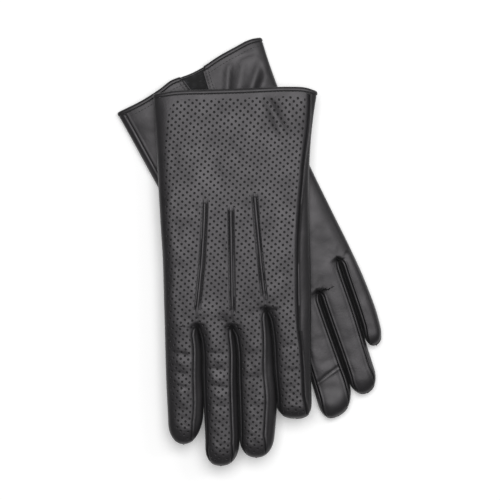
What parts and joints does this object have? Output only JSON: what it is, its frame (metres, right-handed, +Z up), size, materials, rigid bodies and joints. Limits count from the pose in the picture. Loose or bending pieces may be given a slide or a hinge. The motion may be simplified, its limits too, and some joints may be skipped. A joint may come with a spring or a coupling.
{
  "type": "driving gloves",
  "caption": "Pair of lined leather driving gloves with punched backs and stitched points, one laid back up across the other, fingers that fold and a glove that lifts off",
  "frame": {"origin": "centre of the pair's footprint, on the surface they lie on", "axes": "X across the upper glove towards its little finger, Y from its fingertips to its cuff, Z up"},
  "size_m": [0.1752, 0.2816, 0.0251],
  "materials": {
    "elastic_web": "matt elastic web",
    "lining_knit": "fine knitted lining",
    "perforated_leather": "satin nappa leather with small punched holes",
    "plain_leather": "satin nappa leather",
    "touch_leather": "smooth coated leather"
  },
  "bodies": {
    "left_index": {"left_index_back": "perforated_leather", "left_index_fourchettes": "plain_leather", "left_index_front": "plain_leather", "left_index_lining": "lining_knit", "left_index_touch_tip": "touch_leather"},
    "left_middle": {"left_middle_back": "perforated_leather", "left_middle_fourchettes": "plain_leather", "left_middle_front": "plain_leather", "left_middle_lining": "lining_knit", "left_middle_touch_tip": "touch_leather"},
    "left_ring": {"left_ring_back": "perforated_leather", "left_ring_fourchettes": "plain_leather", "left_ring_front": "plain_leather", "left_ring_lining": "lining_knit"},
    "left_little": {"left_little_back": "perforated_leather", "left_little_fourchettes": "plain_leather", "left_little_front": "plain_leather", "left_little_lining": "lining_knit"},
    "left_thumb": {"left_thumb_back": "perforated_leather", "left_thumb_front": "plain_leather", "left_thumb_lining": "lining_knit", "left_thumb_touch_tip": "touch_leather"},
    "right_ring": {"right_ring_back": "perforated_leather", "right_ring_fourchettes": "plain_leather", "right_ring_front": "plain_leather", "right_ring_lining": "lining_knit"},
    "right_little": {"right_little_back": "perforated_leather", "right_little_fourchettes": "plain_leather", "right_little_front": "plain_leather", "right_little_lining": "lining_knit"},
    "left_palm": {"left_back_panel": "perforated_leather", "left_back_points": "plain_leather", "left_cuff_binding": "plain_leather", "left_palm_lining": "lining_knit", "left_palm_panel": "plain_leather", "left_vent_gusset": "elastic_web"},
    "right_palm": {"right_back_panel": "perforated_leather", "right_back_points": "plain_leather", "right_cuff_binding": "plain_leather", "right_index_back": "perforated_leather", "right_index_fourchettes": "plain_leather", "right_index_front": "plain_leather", "right_index_lining": "lining_knit", "right_index_touch_tip": "touch_leather", "right_middle_back": "perforated_leather", "right_middle_fourchettes": "plain_leather", "right_middle_front": "plain_leather", "right_middle_lining": "lining_knit", "right_middle_touch_tip": "touch_leather", "right_palm_lining": "lining_knit", "right_palm_panel": "plain_leather", "right_thumb_back": "perforated_leather", "right_thumb_front": "plain_leather", "right_thumb_lining": "lining_knit", "right_thumb_touch_tip": "touch_leather", "right_vent_gusset": "elastic_web"}
  },
  "joints": [
    {"name": "left_glove_lift", "type": "slide", "parent": "right_palm", "child": "left_palm", "axis": [0, 0, 1], "range_m": [0, 0.08]},
    {"name": "left_index_fold", "type": "hinge", "parent": "left_palm", "child": "left_index", "pos_m": [-0.04486, -0.06383, 0.0247], "axis": [-1, 0, 0], "range_deg": [0, 75]},
    {"name": "left_middle_fold", "type": "hinge", "parent": "left_palm", "child": "left_middle", "pos_m": [-0.02186, -0.06383, 0.0247], "axis": [-1, 0, 0], "range_deg": [0, 75]},
    {"name": "left_ring_fold", "type": "hinge", "parent": "left_palm", "child": "left_ring", "pos_m": [0.00194, -0.06383, 0.0247], "axis": [-1, 0, 0], "range_deg": [0, 75]},
    {"name": "left_little_fold", "type": "hinge", "parent": "left_palm", "child": "left_little", "pos_m": [0.02754, -0.05183, 0.0247], "axis": [-1, 0, 0], "range_deg": [0, 75]},
    {"name": "left_thumb_swing", "type": "hinge", "parent": "left_palm", "child": "left_thumb", "pos_m": [-0.04696, -0.00383, 0.0003], "axis": [0, 0, -1], "range_deg": [0, 60]},
    {"name": "right_ring_fold", "type": "hinge", "parent": "right_palm", "child": "right_ring", "pos_m": [0.05473, -0.02413, 0.0121], "axis": [-0.887, -0.4617, 0], "range_deg": [0, 75]},
    {"name": "right_little_fold", "type": "hinge", "parent": "right_palm", "child": "right_little", "pos_m": [0.06489, -0.00532, 0.0121], "axis": [-0.887, -0.4617, 0], "range_deg": [0, 75]}
  ]
}
